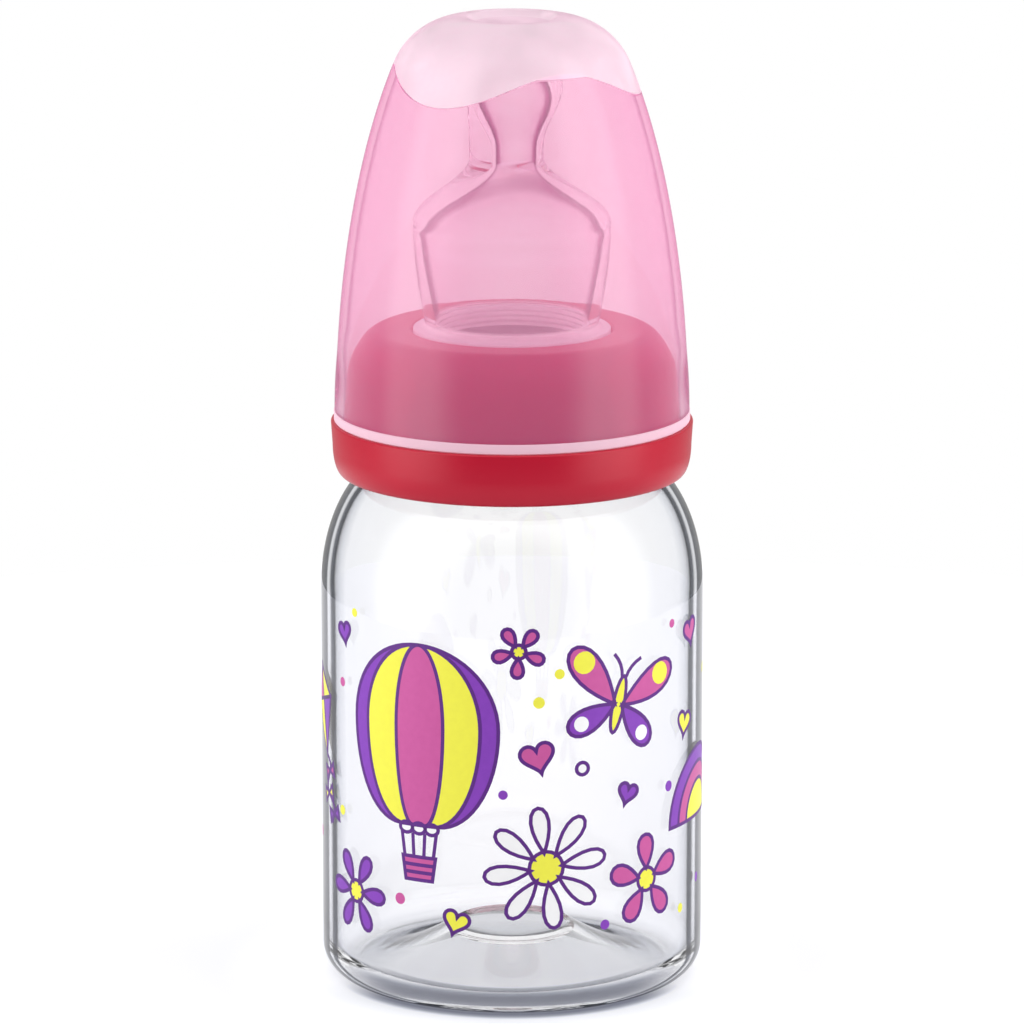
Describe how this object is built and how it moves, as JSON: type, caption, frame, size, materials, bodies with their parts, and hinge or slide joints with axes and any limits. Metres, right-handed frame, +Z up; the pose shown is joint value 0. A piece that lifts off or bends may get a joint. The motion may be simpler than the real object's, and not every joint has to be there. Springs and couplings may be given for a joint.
{
  "type": "baby bottle",
  "caption": "Small clear feeding bottle with a silicone orthodontic teat, a red screw ring and a tall translucent pink travel cap.",
  "frame": {"origin": "on the bottle's axis, at the level of the surface that it stands on", "axes": "+Z up along the bottle's axis, through the ring, teat and cap; -Y towards the printed front"},
  "size_m": [0.052, 0.052, 0.1318],
  "materials": {
    "clear_bottle": "clear blow-moulded plastic, polished",
    "clear_silicone": "clear moulded silicone, soft gloss",
    "red_ring": "opaque moulded polypropylene, satin gloss",
    "pink_cap": "translucent moulded polypropylene, polished wall and satin top",
    "print_yellow": "screen-printed ink",
    "print_purple": "screen-printed ink",
    "print_pink": "screen-printed ink",
    "print_white": "screen-printed ink"
  },
  "bodies": {
    "bottle": {"bottle": "clear_bottle"},
    "teat": {"teat": "clear_silicone"},
    "ring": {"screw_ring": "red_ring"},
    "cap": {"cap": "pink_cap"}
  },
  "joints": [
    {"name": "ring_lift", "type": "slide", "parent": "bottle", "child": "teat", "axis": [0, 0, 1], "range_m": [0, 0.00675]},
    {"name": "ring_turn", "type": "hinge", "parent": "teat", "child": "ring", "pos_m": [0, 0, 0.08], "axis": [0, 0, 1], "range_deg": [0, 540]},
    {"name": "cap_pull", "type": "slide", "parent": "ring", "child": "cap", "axis": [0, 0, 1], "range_m": [0, 0.06]}
  ],
  "couplings": [
    {"joint": "ring_lift", "follows": "ring_turn", "m_per_rad": 0.000716}
  ]
}
